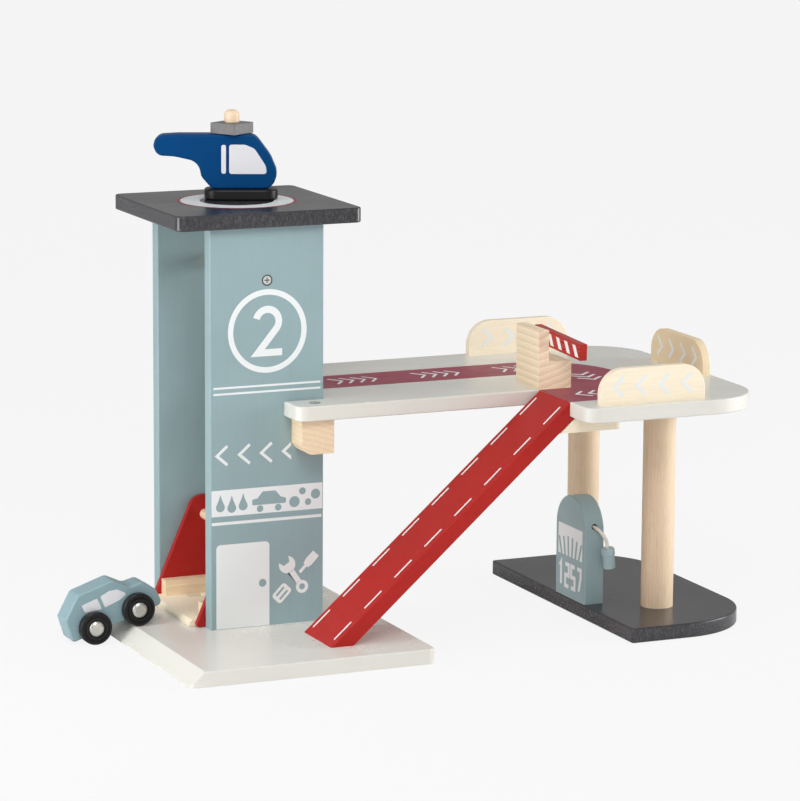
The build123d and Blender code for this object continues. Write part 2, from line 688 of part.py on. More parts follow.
def wheel_cap():
    """Domed metal cap: a straight rim, a sloping shoulder and a flat middle."""
    r = CAP_D / 2
    points = [(0, 0), (r, 0), (r, CAP_RIM), (r - CAP_SHOULDER, CAP_H), (0, CAP_H)]
    return revolve(outline(points, [0, 0, CAP_RIM / 2, CAP_SHOULDER / 2, 0], Plane.XZ), Axis.Z)


def wheel_place(hub, side):
    """Inner face of a wheel, with its Z axis away from the car's body."""
    y = hub.Y + side * (CAR_W / 2 + WHEEL_GAP)
    return Plane(origin=(hub.X, y, hub.Z), x_dir=(1, 0, 0), z_dir=(0, side, 0)).location


def axle(hub):
    length = CAR_W + 2 * WHEEL_GAP + 2 * AXLE_IN_WHEEL
    return Pos(hub) * Rot(90, 0, 0) * Cylinder(AXLE_D / 2, length)


# ---- Helicopter -----------------------------------------------------------------------
def helicopter_body():
    """Cabin with a round nose, narrowing under the back into a level tail boom."""
    points = [(x, z) for x, z, _ in HELI_OUTLINE]
    solid = side_view(points, [r for _, _, r in HELI_OUTLINE], -HELI_T / 2, HELI_T / 2)
    solid = fillet(solid.faces().filter_by(Axis.Y).edges(), HELI_EDGE_R)
    bore = Cylinder(MAST_D / 2 + SCREW_GAP, MAST_SEAT + SCREW_GAP)
    solid -= Pos(MAST_X, 0, HELI_TOP_Z - (MAST_SEAT + SCREW_GAP) / 2) * bore
    return HELI_PLACE * Pos(0, 0, SKID_H) * solid


def helicopter_skid():
    x, y = SKID_L / 2, SKID_W / 2
    corners = [(-x, -y), (x, -y), (x, y), (-x, y)]
    return HELI_PLACE * Pos(SKID_OFFSET, 0) * board(corners, SKID_CORNER_R, 0, SKID_H, SKID_EDGE_R)


def helicopter_rotor():
    half = ROTOR_SIDE / 2
    corners = [(-half, -half), (half, -half), (half, half), (-half, half)]
    solid = board(corners, ROTOR_CORNER_R, 0, ROTOR_H, ROTOR_EDGE_R)
    solid -= Cylinder(MAST_D / 2 + SHAFT_GAP, 4 * ROTOR_H)
    place = HELI_PLACE * Pos(MAST_X, 0, SKID_H + HELI_TOP_Z + REST_GAP)
    return place * Rot(0, 0, ROTOR_YAW) * solid


def helicopter_mast():
    """Turned peg that holds the rotor on top of the cabin."""
    shank_r, head_r = MAST_D / 2, MAST_HEAD_D / 2
    shoulder = MAST_SEAT + ROTOR_H + 2 * REST_GAP
    top = shoulder + MAST_HEAD_H
    points = [(0, 0), (shank_r, 0), (shank_r, shoulder), (head_r, shoulder), (head_r, top), (0, top)]
    peg = revolve(outline(points, [0, 0, 0, 0, MAST_HEAD_R, 0], Plane.XZ), Axis.Z)
    return HELI_PLACE * Pos(MAST_X, 0, SKID_H + HELI_TOP_Z - MAST_SEAT) * peg


# ---- Write every node -----------------------------------------------------------------
def main():
    save("base_board", base_board())
    save("foot_board", foot_board())
    for name, y in PILLAR_YS.items():
        save(f"pillar_{name}", pillar(y))

    save("tower_panel_front", tower_panel(FRONT_OUT, FRONT_IN, screw_hole(TOWER_SCREWS["front"])))
    save("tower_panel_back", tower_panel(BACK_IN, BACK_OUT, screw_hole(TOWER_SCREWS["back"])))
    save("tower_cross_dowel", cross_dowel())
    save("roof_board", roof_board())
    for name, place in TOWER_SCREWS.items():
        save(f"tower_screw_{name}", screw(place))

    save("deck_board", deck_board())
    front, back = DECK_SCREWS["front"], DECK_SCREWS["back"]
    save("deck_bracket_front", deck_bracket(FRONT_OUT - BRACKET_FRONT_W, FRONT_OUT, front))
    save("deck_bracket_back", deck_bracket(BACK_OUT, BACK_OUT + BRACKET_BACK_W, back))
    for name, place in DECK_SCREWS.items():
        save(f"deck_screw_{name}", screw(place))

    save("ramp", ramp())
    save("ramp_spacer_upper", ramp_spacer(DECK_CLEAR))
    save("ramp_spacer_lower", ramp_spacer(DECK_CLEAR - SPACER_T))
    for name, solid in rails().items():
        save(name, solid)

    save("barrier_post", barrier_post())
    save("barrier_arm", barrier_arm())
    save("barrier_pin", barrier_pin())

    save("lift_plate_front", lift_plate(LIFT_FRONT))
    save("lift_plate_back", lift_plate(LIFT_BACK - LIFT_PLATE_T))
    save("lift_floor", lift_floor())
    inner_front, inner_back = LIFT_FRONT + LIFT_PLATE_T, LIFT_BACK - LIFT_PLATE_T
    save("lift_curb_front", lift_curb(inner_front, inner_front + CURB_W))
    save("lift_curb_back", lift_curb(inner_back - CURB_W, inner_back))
    save("lift_dowel", lift_dowel())

    save("pump_body", pump_body())
    save("pump_hose", pump_hose())
    save("pump_nozzle", pump_nozzle())

    save("car_body", car_body())
    for end, hub in (("rear", CAR_REAR), ("front", CAR_FRONT)):
        save(f"car_axle_{end}", axle(hub))
        for hand, side in (("left", 1), ("right", -1)):
            place = wheel_place(hub, side)
            save(f"car_wheel_{end}_{hand}", place * wheel())
            save(f"car_cap_{end}_{hand}", place * Pos(0, 0, WHEEL_T - HUB_DEEP) * wheel_cap())

    save("helicopter_body", helicopter_body())
    save("helicopter_skid", helicopter_skid())
    save("helicopter_rotor", helicopter_rotor())
    save("helicopter_mast", helicopter_mast())


main()
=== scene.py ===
import math

import bmesh
import bpy
from mathutils import Matrix, Vector

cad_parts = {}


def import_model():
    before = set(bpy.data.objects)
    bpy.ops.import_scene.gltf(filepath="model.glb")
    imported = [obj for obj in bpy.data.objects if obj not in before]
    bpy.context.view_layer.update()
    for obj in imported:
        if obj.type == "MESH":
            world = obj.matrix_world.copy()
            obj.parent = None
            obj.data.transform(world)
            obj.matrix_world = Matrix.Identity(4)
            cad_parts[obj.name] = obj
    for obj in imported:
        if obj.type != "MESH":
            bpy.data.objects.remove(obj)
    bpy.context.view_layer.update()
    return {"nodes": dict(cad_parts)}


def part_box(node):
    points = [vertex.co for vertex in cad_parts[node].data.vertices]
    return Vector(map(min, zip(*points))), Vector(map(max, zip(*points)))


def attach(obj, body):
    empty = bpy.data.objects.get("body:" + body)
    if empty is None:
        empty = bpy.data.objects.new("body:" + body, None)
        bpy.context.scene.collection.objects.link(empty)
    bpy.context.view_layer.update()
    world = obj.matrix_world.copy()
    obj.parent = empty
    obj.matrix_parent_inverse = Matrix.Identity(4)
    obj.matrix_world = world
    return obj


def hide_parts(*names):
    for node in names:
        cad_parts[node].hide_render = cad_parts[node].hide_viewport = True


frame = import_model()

MM = 0.001
NODES = frame["nodes"]


# ---- Sizes repeated from the part, in mm ----------------------------------------------
PANEL_FACE_Y = -15.0
PANEL_BACK_Y = 147.0
ROOF_AT = (10.0, 66.0)
ROOF_TOP = 430.0
DECK_TOP = 240.0
RAMP_TOP = (287.5, 240.0)
RAMP_FOOT = (33.0, 15.0)
BOARD_T = 15.0
RAMP_Y = (-124.0, -54.0)
CAR_REAR = Vector((-153.8, 50.5, 16.8))
CAR_PITCH = math.radians(18.41)
CAR_HALF = 13.5
HELI_AT = Vector((14.9, 78.0, 430.3))
HELI_YAW = math.radians(-22.0)
HELI_HALF = 10.5
SKID_H = 10.6
PUMP_X = 339.5
PUMP_Y = (-58.0, 9.0)
HOSE = [
    (350.25, -50.0, 95.0),
    (350.25, -62.0, 95.0),
    (352.85, -68.2, 91.2),
    (356.55, -71.0, 85.0),
    (358.55, -70.4, 77.8),
    (360.05, -69.6, 68.0),
]
HOSE_D = 3.5


# ---- Camera ---------------------------------------------------------------------------
def make_camera():
    look = Vector((0.39558, 0.89993, -0.18344)).normalized()
    right = Vector((0.91588, -0.40140, 0.00583))
    right = (right - look * right.dot(look)).normalized()
    up = right.cross(look)
    data = bpy.data.cameras.new("camera")
    data.lens = 175.13
    data.sensor_width = 36.0
    data.sensor_fit = "HORIZONTAL"
    data.clip_end = 60.0
    cam = bpy.data.objects.new("camera", data)
    turn = Matrix((right, up, -look)).transposed().to_4x4()
    cam.matrix_world = Matrix.Translation((-1.3830, -3.5083, 0.9442)) @ turn
    bpy.context.scene.collection.objects.link(cam)
    bpy.context.scene.camera = cam


# ---- Material nodes -------------------------------------------------------------------
class Paint:
    """A node material with the few helpers that its pattern needs."""

    def __init__(self, name):
        self.material = bpy.data.materials.new(name)
        self.material.use_nodes = True
        self.tree = self.material.node_tree
        self.tree.nodes.clear()
        self.shader = self.tree.nodes.new("ShaderNodeBsdfPrincipled")
        out = self.tree.nodes.new("ShaderNodeOutputMaterial")
        self.tree.links.new(self.shader.outputs[0], out.inputs["Surface"])
        coords = self.tree.nodes.new("ShaderNodeTexCoord")
        self.place = coords.outputs["Object"]

    def feed(self, socket, value):
        if isinstance(value, bpy.types.NodeSocket):
            self.tree.links.new(value, socket)
        else:
            socket.default_value = value

    def set(self, **values):
        for key, value in values.items():
            self.feed(self.shader.inputs[key.replace("_", " ")], value)

    def mapped(self, scale=(1, 1, 1), offset=(0, 0, 0), turn=(0, 0, 0)):
        node = self.tree.nodes.new("ShaderNodeMapping")
        node.inputs["Location"].default_value = offset
        node.inputs["Rotation"].default_value = turn
        node.inputs["Scale"].default_value = scale
        self.feed(node.inputs["Vector"], self.place)
        return node.outputs[0]

    def noise(self, scale, vector=None, detail=2.0, rough=0.5, twist=0.0):
        node = self.tree.nodes.new("ShaderNodeTexNoise")
        self.feed(node.inputs["Vector"], self.place if vector is None else vector)
        node.inputs["Scale"].default_value = scale
        node.inputs["Detail"].default_value = detail
        node.inputs["Roughness"].default_value = rough
        node.inputs["Distortion"].default_value = twist
        return node.outputs[0]

    def cells(self, scale, vector=None):
        node = self.tree.nodes.new("ShaderNodeTexVoronoi")
        self.feed(node.inputs["Vector"], self.place if vector is None else vector)
        node.inputs["Scale"].default_value = scale
        return node.outputs["Distance"]

    def rings(self, axis, scale, vector, twist, detail=2.0, detail_scale=1.0):
        node = self.tree.nodes.new("ShaderNodeTexWave")
        node.wave_type = "RINGS"
        node.rings_direction = axis
        node.wave_profile = "SAW"
        self.feed(node.inputs["Vector"], vector)
        node.inputs["Scale"].default_value = scale
        node.inputs["Distortion"].default_value = twist
        node.inputs["Detail"].default_value = detail
        node.inputs["Detail Scale"].default_value = detail_scale
        return node.outputs["Color"]

    def bands(self, axis, scale, vector, twist=0.0):
        node = self.tree.nodes.new("ShaderNodeTexWave")
        node.wave_type = "BANDS"
        node.bands_direction = axis
        self.feed(node.inputs["Vector"], vector)
        node.inputs["Scale"].default_value = scale
        node.inputs["Distortion"].default_value = twist
        return node.outputs["Color"]

    def between(self, value, low, high, from_low=0.3, from_high=0.7):
        node = self.tree.nodes.new("ShaderNodeMapRange")
        self.feed(node.inputs["Value"], value)
        node.inputs["From Min"].default_value = from_low
        node.inputs["From Max"].default_value = from_high
        node.inputs["To Min"].default_value = low
        node.inputs["To Max"].default_value = high
        return node.outputs[0]

    def sum(self, a, b, kind="ADD"):
        node = self.tree.nodes.new("ShaderNodeMath")
        node.operation = kind
        self.feed(node.inputs[0], a)
        self.feed(node.inputs[1], b)
        return node.outputs[0]

    def mix(self, amount, a, b):
        node = self.tree.nodes.new("ShaderNodeMix")
        node.data_type = "RGBA"
        self.feed(node.inputs[0], amount)
        for socket, colour in ((node.inputs[6], a), (node.inputs[7], b)):
            if isinstance(colour, bpy.types.NodeSocket):
                self.feed(socket, colour)
            else:
                socket.default_value = (*colour, 1.0)
        return node.outputs[2]

    def side_sheen_speckle(self, strength):
        """Mask for painted sheen: a coarse speckle, standing for the mottled grain, only where the
        surface stands upright.
        """
        shape = self.tree.nodes.new("ShaderNodeNewGeometry")
        split = self.tree.nodes.new("ShaderNodeSeparateXYZ")
        self.feed(split.inputs[0], shape.outputs["Normal"])
        level = self.sum(split.outputs[2], 0.0, "ABSOLUTE")
        upright = self.between(level, strength, 0.0, 0.2, 0.6)
        speckle = self.noise(620.0, self.mapped(scale=(1, 1, 0.45)), detail=3.0, rough=0.7)
        return self.sum(upright, self.between(speckle, 0.0, 1.0, 0.44, 0.66), "MULTIPLY")

    def bump(self, height, distance, strength=1.0, under=None):
        node = self.tree.nodes.new("ShaderNodeBump")
        node.inputs["Strength"].default_value = strength
        node.inputs["Distance"].default_value = distance
        self.feed(node.inputs["Height"], height)
        if under is not None:
            self.feed(node.inputs["Normal"], under)
        return node.outputs[0]


def linear(r, g, b):
    """Scene colour of an 8-bit screen colour."""
    return tuple(((c / 255 + 0.055) / 1.055) ** 2.4 for c in (r, g, b))


def shade(colour, factor):
    return tuple(min(1.0, c * factor) for c in colour)


STRETCH = {"X": (0.06, 1, 1), "Y": (1, 0.06, 1), "Z": (1, 1, 0.06)}


def lacquer(name, rgb, grain, gloss=0.32, relief=1.0, tone=0.05, shine=0.3, side_sheen=0.0):
    """Sprayed paint on wood: faint clouds, the board's grain showing through, fine orange peel."""
    paint = Paint(name)
    colour = linear(*rgb)
    along = paint.mapped(scale=STRETCH[grain])
    fibre = paint.noise(420.0, along, detail=5.0, rough=0.6)
    broad = paint.noise(60.0, along, detail=3.0)
    cloud = paint.noise(9.0, detail=3.0, rough=0.6)
    dust = paint.cells(650.0)
    base = paint.mix(paint.between(cloud, 0.0, 1.0), shade(colour, 1 - tone), shade(colour, 1 + tone))
    streak = paint.between(fibre, 0.0, 0.10 * relief, 0.52, 0.72)
    base = paint.mix(streak, base, shade(colour, 0.72))
    pale = paint.between(broad, 0.0, 0.16 * relief, 0.5, 0.75)
    base = paint.mix(pale, base, shade(colour, 1.12))
    # Painted sheen: the upright sides are lightened 2.4 times in a speckle that stands for the mottled
    # grain.
    if side_sheen:
        base = paint.mix(paint.side_sheen_speckle(side_sheen), base, shade(colour, 2.4))
    speck = paint.between(dust, 0.10, 0.0, 0.02, 0.10)
    base = paint.mix(speck, base, shade(colour, 0.8))
    grainy = min(relief, 1.0)
    fine = paint.between(fibre, -0.02 * grainy, 0.04 * grainy)
    rough = paint.sum(paint.between(cloud, gloss - 0.05, gloss + 0.07), fine)
    peel = paint.noise(700.0, detail=2.0)
    skin = paint.bump(peel, 0.00006, 0.35 * grainy)
    normal = paint.bump(fibre, 0.00012 * grainy, 0.5 * relief, under=skin)
    paint.set(Base_Color=base, Roughness=rough, Normal=normal)
    paint.set(Specular_IOR_Level=shine)
    return paint.material


WOOD_CORE = (0.05, 0.04, 0.03)  # place of the log's core, m


def wood(name, pale, dark, grain, pitch, rings_twist, fibre_depth=0.35, core=WOOD_CORE):
    """Clear-lacquered wood: year rings about a far core, fibres and short pores along it."""
    paint = Paint(name)
    light, deep = linear(*pale), linear(*dark)
    along = paint.mapped(scale=STRETCH[grain], offset=core)
    slow = paint.mapped(scale=[0.25 if s == 1 else 0.02 for s in STRETCH[grain]], offset=core)
    year = paint.rings(grain, pitch, along, rings_twist, detail=3.0, detail_scale=1.5)
    fibre = paint.noise(900.0, along, detail=6.0, rough=0.65)
    pore = paint.noise(1500.0, along, detail=2.0)
    drift = paint.noise(40.0, slow, detail=3.0)
    base = paint.mix(paint.between(year, 0.0, fibre_depth, 0.1, 1.0), light, deep)
    base = paint.mix(paint.between(fibre, 0.0, 0.32, 0.42, 0.75), base, deep)
    base = paint.mix(paint.between(pore, 0.0, 0.35, 0.60, 0.72), base, shade(deep, 0.72))
    base = paint.mix(paint.between(drift, 0.0, 0.35), base, shade(light, 1.08))
    rough = paint.between(fibre, 0.42, 0.6)
    skin = paint.bump(paint.noise(800.0), 0.00004, 0.3)
    normal = paint.bump(fibre, 0.00012, 0.6, under=skin)
    paint.set(Base_Color=base, Roughness=rough, Normal=normal)
    return paint.material


def plywood(name, pale, dark, grain, layer_axis, layer_scale):
    """Birch plywood: quiet veneer on its faces, thin darker layers that show at its edges."""
    paint = Paint(name)
    light, deep = linear(*pale), linear(*dark)
    along = paint.mapped(scale=STRETCH[grain])
    fibre = paint.noise(700.0, along, detail=6.0, rough=0.6)
    figure = paint.noise(70.0, along, detail=4.0, rough=0.55, twist=0.6)
    layers = paint.bands(layer_axis, layer_scale, paint.mapped())
    base = paint.mix(paint.between(figure, 0.0, 0.5, 0.35, 0.7), light, shade(light, 0.9))
    base = paint.mix(paint.between(fibre, 0.0, 0.3, 0.45, 0.75), base, deep)
    base = paint.mix(paint.between(layers, 0.0, 0.35, 0.72, 0.95), base, deep)
    normal = paint.bump(fibre, 0.0001, 0.5)
    paint.set(Base_Color=base, Roughness=paint.between(fibre, 0.42, 0.58), Normal=normal)
    return paint.material


def metal(name, rgb, gloss=0.28, plate=1.0):
    """Plated steel with fine turning marks and small stains."""
    paint = Paint(name)
    colour = linear(*rgb)
    stain = paint.noise(250.0, detail=4.0, rough=0.6)
    marks = paint.noise(1800.0, detail=3.0)
    base = paint.mix(paint.between(stain, 0.0, 0.6), colour, shade(colour, 0.72))
    normal = paint.bump(marks, 0.00005, 0.5)
    rough = paint.between(stain, gloss, gloss + 0.16)
    paint.set(Base_Color=base, Metallic=plate, Roughness=rough, Normal=normal)
    return paint.material


def plain_ink(name, rgb, gloss=0.42):
    """Screen-printed ink: even colour with pinholes and faint darker clouds."""
    paint = Paint(name)
    colour = linear(*rgb)
    grain = paint.noise(1100.0, detail=4.0, rough=0.6)
    cloud = paint.noise(30.0, detail=3.0)
    base = paint.mix(paint.between(grain, 0.0, 0.12, 0.55, 0.75), colour, shade(colour, 0.7))
    base = paint.mix(paint.between(cloud, 0.0, 0.2), base, shade(colour, 0.93))
    normal = paint.bump(grain, 0.00004, 0.4)
    paint.set(Base_Color=base, Roughness=paint.between(cloud, gloss - 0.04, gloss + 0.06), Normal=normal)
    return paint.material


def hose_skin(name):
    """Soft cream plastic tube with a faint mould haze."""
    paint = Paint(name)
    colour = linear(236, 230, 218)
    haze = paint.noise(500.0, detail=3.0)
    base = paint.mix(paint.between(haze, 0.0, 0.5), colour, shade(colour, 0.86))
    normal = paint.bump(haze, 0.00005, 0.4)
    paint.set(Base_Color=base, Roughness=paint.between(haze, 0.3, 0.42), Normal=normal)
    paint.set(Subsurface_Weight=0.08)
    return paint.material


# ---- Dressing the CAD nodes -----------------------------------------------------------
def dress(names, material):
    for name in names:
        obj = NODES[name]
        obj.data.materials.clear()
        obj.data.materials.append(material)


# Paints and woods as 8-bit screen colours.
WHITE = (222, 220, 212)
CHARCOAL = (52, 51, 54)
GREY_BLUE = (146, 169, 173)
RED = (172, 40, 36)
BLUE = (0, 64, 116)
BEECH = (238, 214, 184)
BEECH_DEEP = (208, 168, 124)
PINE = (242, 220, 188)
PINE_DEEP = (200, 158, 110)
BIRCH = (250, 238, 214)
BIRCH_DEEP = (226, 200, 160)
SKID_BLACK = (28, 27, 29)
# Mid-grey for a black block: painted sheen for the light its faces reflect.
ROTOR_SHEEN_GREY = (110, 108, 108)
PUMP_BLUE = (150, 172, 176)
CAR_BLUE = (138, 165, 172)
GRIP_BLUE = (162, 186, 192)
ARM_RED = (176, 44, 38)
LIFT_RED = (168, 36, 32)
POST_PALE = (250, 232, 204)
POST_DEEP = (206, 168, 122)
POST_CORE = (-0.27, 0.0, -0.36)
BRACKET_CORE = (0.03, 0.0, 0.05)
# Painted shade: the same birch, darker and yellower, for the shadow on the far rail's face.
FAR_RAIL_SHADED_PALE = (240, 220, 186)
PLATED = (232, 232, 230)
CAP_STEEL = (214, 213, 207)
TYRE = (20, 19, 22)
BLACK_BOARDS = "black_lacquer_boards"


def dress_all():
    calm = {"relief": 0.25, "tone": 0.02, "shine": 0.45}
    dress(["base_board"], lacquer("white_lacquer_base", WHITE, "Y", 0.24, **calm))
    dress(["deck_board"], lacquer("white_lacquer_deck", WHITE, "X", 0.22, **calm))
    # The boards' upright sides get painted sheen, in a speckle that stands for their mottled grain.
    mottled_sheen = {"relief": 1.2, "tone": 0.1, "shine": 0.5, "side_sheen": 0.9}
    black = lacquer(BLACK_BOARDS, CHARCOAL, "X", 0.2, **mottled_sheen)
    dress(["foot_board", "roof_board"], black)
    skid = lacquer("black_lacquer_skid", SKID_BLACK, "X", 0.3, tone=0.1, shine=0.25)
    dress(["helicopter_skid"], skid)
    # The black rotor block is coloured grey and its sides lightened: painted sheen.
    block = lacquer("black_block_painted_sheen", ROTOR_SHEEN_GREY, "X", 0.4, tone=0.04, side_sheen=0.2)
    dress(["helicopter_rotor"], block)
    panels = lacquer("grey_blue_panels", GREY_BLUE, "Z", 0.38, relief=1.3)
    dress(["tower_panel_front", "tower_panel_back"], panels)
    dress(["pump_body"], lacquer("grey_blue_pump", PUMP_BLUE, "Z", gloss=0.38))
    dress(["car_body"], lacquer("grey_blue_car", CAR_BLUE, "X", gloss=0.36))
    dress(["pump_nozzle"], lacquer("grey_blue_grip", GRIP_BLUE, "Z", gloss=0.25, shine=0.5))
    dress(["ramp"], lacquer("red_ramp", RED, "X", 0.34, tone=0.07, shine=0.12))
    dress(["barrier_arm"], lacquer("red_arm", ARM_RED, "Y", gloss=0.3, shine=0.2))
    plates = lacquer("red_lift", LIFT_RED, "Z", 0.34, shine=0.2)
    dress(["lift_plate_front", "lift_plate_back"], plates)
    beech = wood("beech_upright", BEECH, BEECH_DEEP, "Z", 110.0, 3.0, 0.22)
    dress(["pillar_front", "pillar_rear", "helicopter_mast"], beech)
    across = wood("beech_across", BEECH, BEECH_DEEP, "Y", 110.0, 3.0, 0.22)
    dress(["tower_cross_dowel", "lift_dowel"], across)
    post = wood("pine_post", POST_PALE, POST_DEEP, "Y", 44.0, 2.2, 0.6, core=POST_CORE)
    dress(["barrier_post"], post)
    pine = wood("pine_block", PINE, PINE_DEEP, "Y", 60.0, 3.0, 0.3, core=BRACKET_CORE)
    dress(["deck_bracket_front", "deck_bracket_back"], pine)
    curb = wood("pine_curb", PINE, PINE_DEEP, "X", 90.0, 3.0, 0.4)
    dress(["lift_curb_front", "lift_curb_back"], curb)
    rails = plywood("birch_rail", BIRCH, BIRCH_DEEP, "X", "Y", 95.0)
    dress(["rail_front", "rail_back"], rails)
    # The far rail's birch is darkened: painted shade.
    dress(["rail_far"], plywood("birch_rail_far_painted_shade", FAR_RAIL_SHADED_PALE, BIRCH_DEEP, "Y", "X", 95.0))
    flat = plywood("birch_flat", BIRCH, BIRCH_DEEP, "Y", "Z", 120.0)
    dress(["ramp_spacer_upper", "ramp_spacer_lower", "lift_floor"], flat)
    steel = metal("plated_steel", PLATED, 0.34, 0.7)
    dress([n for n in NODES if "screw" in n or "axle" in n or n == "barrier_pin"], steel)
    dress([n for n in NODES if n.startswith("car_cap")], metal("cap_steel", CAP_STEEL, 0.24))
    tyre = lacquer("wheel_black", TYRE, "Z", gloss=0.3, relief=0.8, tone=0.1, shine=0.35)
    dress([n for n in NODES if n.startswith("car_wheel")], tyre)


# ---- Helicopter shell -----------------------------------------------------------------
# Side view above the skid, in mm, with the radius of each corner.
SHELL = [
    (-25.0, 0.3, 10.0), (-35.5, 12.5, 10.0), (-38.0, 27.0, 14.0), (-62.0, 32.3, 50.0),
    (-79.0, 33.2, 9.0), (-84.0, 45.0, 8.5), (-76.5, 53.4, 10.0), (-58.0, 54.5, 20.0),
    (17.5, 54.5, 14.0), (33.5, 33.0, 38.0), (40.5, 16.0, 15.0), (35.0, 0.3, 12.0),
]
SHELL_ROUND = 2.0


def outline_mesh(name, shapes, half, place, soft=0.0):
    """Closed outlines thickened both ways by half and placed; inner ones are holes."""
    curve = bpy.data.curves.new(name, "CURVE")
    curve.dimensions = "2D"
    curve.fill_mode = "BOTH"
    curve.extrude = half - soft
    if soft:
        curve.bevel_depth = soft
        curve.bevel_resolution = 4
        curve.offset = -soft
    for shape in shapes:
        spline = curve.splines.new("POLY")
        spline.points.add(len(shape) - 1)
        for point, (x, y) in zip(spline.points, shape):
            point.co = (x, y, 0.0, 1.0)
        spline.use_cyclic_u = True
    flat = bpy.data.objects.new(name + "_flat", curve)
    bpy.context.scene.collection.objects.link(flat)
    bpy.context.view_layer.update()
    graph = bpy.context.evaluated_depsgraph_get()
    mesh = bpy.data.meshes.new_from_object(flat.evaluated_get(graph))
    bpy.data.objects.remove(flat)
    mesh.name = name
    mesh.transform(Matrix.Scale(MM, 4) @ place)
    mesh.materials.clear()
    return mesh


def thick_outline(name, points, half, soft, place):
    """A solid piece from one outline, its rims rounded by soft and its sides shaded smooth."""
    mesh = outline_mesh(name, [points], half, place, soft)
    joined = bmesh.new()
    joined.from_mesh(mesh)
    bmesh.ops.remove_doubles(joined, verts=joined.verts, dist=0.00001)
    joined.to_mesh(mesh)
    joined.free()
    side = (place.to_3x3() @ Vector((0, 0, 1))).normalized()
    for face in mesh.polygons:
        face.use_smooth = abs(face.normal.dot(side)) < 0.995
    return mesh


def stand_in(name, mesh, body, node):
    """Show the mesh as a piece on a body, in place of a CAD node."""
    piece = bpy.data.objects.new(name, mesh)
    bpy.context.scene.collection.objects.link(piece)
    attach(piece, body)
    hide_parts(node)


def make_shell():
    """Cabin and tail as one thick outline with rounded rims."""
    points = rounded_run(SHELL[::-1], 9)
    ahead = Vector((math.cos(HELI_YAW), math.sin(HELI_YAW), 0))
    up = Vector((0, 0, 1))
    turn = Matrix((ahead, up, ahead.cross(up))).transposed().to_4x4()
    place = Matrix.Translation(HELI_AT + Vector((0, 0, SKID_H))) @ turn
    mesh = thick_outline("helicopter_shell", points, HELI_HALF, SHELL_ROUND, place)
    mesh.materials.append(lacquer("blue_helicopter", BLUE, "X", 0.32, tone=0.05, shine=0.08))
    stand_in("helicopter_shell", mesh, "helicopter", "helicopter_body")


# ---- Foot -----------------------------------------------------------------------------
# Corners of the foot board in plan, in mm, with the radius of each.
FOOT = [(339.0, -167.0, 3.0), (491.0, -167.0, 86.0), (491.0, 163.0, 86.0), (339.0, 163.0, 3.0)]
FOOT_SOFT = 1.5


def make_foot():
    """The foot board with the wide sweep of its two far corners."""
    points = rounded_run(FOOT, 24)
    place = Matrix.Translation((0, 0, BOARD_T / 2))
    mesh = thick_outline("foot_board_swept", points, BOARD_T / 2, FOOT_SOFT, place)
    mesh.materials.append(bpy.data.materials[BLACK_BOARDS])
    stand_in("foot_board_swept", mesh, "garage", "foot_board")


# ---- Hose -----------------------------------------------------------------------------
def make_hose():
    curve = bpy.data.curves.new("pump_hose_curve", "CURVE")
    curve.dimensions = "3D"
    curve.bevel_depth = HOSE_D / 2 * MM
    curve.bevel_resolution = 5
    curve.use_fill_caps = True
    curve.resolution_u = 16
    spline = curve.splines.new("NURBS")
    spline.points.add(len(HOSE) - 1)
    for point, (x, y, z) in zip(spline.points, HOSE):
        point.co = (x * MM, y * MM, z * MM, 1.0)
    spline.order_u = 3
    spline.use_endpoint_u = True
    spline.use_smooth = True
    hose = bpy.data.objects.new("fuel_hose", curve)
    bpy.context.scene.collection.objects.link(hose)
    curve.materials.append(hose_skin("hose_plastic"))
    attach(hose, "garage")
    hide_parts("pump_hose")


# ---- Flat prints ----------------------------------------------------------------------
def circle(cx, cy, r, count=72):
    turn = [2 * math.pi * i / count for i in range(count)]
    return [(cx + r * math.cos(a), cy + r * math.sin(a)) for a in turn]


def box(x0, y0, x1, y1):
    return [(x0, y0), (x1, y0), (x1, y1), (x0, y1)]


def stroke(points, width):
    """Outline of an open line of that width, mitred at its corners."""
    half = width / 2
    pts = [Vector(p) for p in points]
    left, right = [], []
    for i, p in enumerate(pts):
        before = (p - pts[i - 1]).normalized() if i else None
        after = (pts[i + 1] - p).normalized() if i + 1 < len(pts) else None
        way = before or after
        if before and after:
            across = (before + after).normalized()
            normal = Vector((-across.y, across.x))
            reach = half / max(0.35, normal.dot(Vector((-before.y, before.x))))
        else:
            normal, reach = Vector((-way.y, way.x)), half
        left.append(p + normal * reach)
        right.append(p - normal * reach)
    return [tuple(p) for p in left + right[::-1]]


def arc(cx, cy, r, start, end, count=16):
    """Points on an arc; the angles are in degrees."""
    turn = [math.radians(start + (end - start) * i / count) for i in range(count + 1)]
    return [(cx + r * math.cos(a), cy + r * math.sin(a)) for a in turn]


def rounded(points, radii, count=6):
    """Polygon with its corners rounded by arcs of the given radii."""
    out = []
    total = len(points)
    for i, (corner, r) in enumerate(zip(points, radii)):
        p = Vector(corner)
        if not r:
            out.append(tuple(p))
            continue
        to_a = (Vector(points[i - 1]) - p).normalized()
        to_b = (Vector(points[(i + 1) % total]) - p).normalized()
        half = to_a.angle(to_b) / 2
        reach = r / math.tan(half)
        middle = p + (to_a + to_b).normalized() * (r / math.sin(half))
        start, end = p + to_a * reach - middle, p + to_b * reach - middle
        sweep = start.angle_signed(end)
        for k in range(count + 1):
            turned = Matrix.Rotation(-sweep * k / count, 2) @ start
            out.append(tuple(middle + turned))
    return out


def rounded_run(run, count):
    """Rounded polygon from corners given as x, y and radius."""
    return rounded([(x, y) for x, y, _ in run], [r for _, _, r in run], count)


def chevron(tip, depth, rise, width, way):
    """An arrow head whose tip points along way, +1 or -1, on the first axis."""
    x, y = tip
    back = x - way * depth
    return stroke([(back, y + rise / 2), (x, y), (back, y - rise / 2)], width)


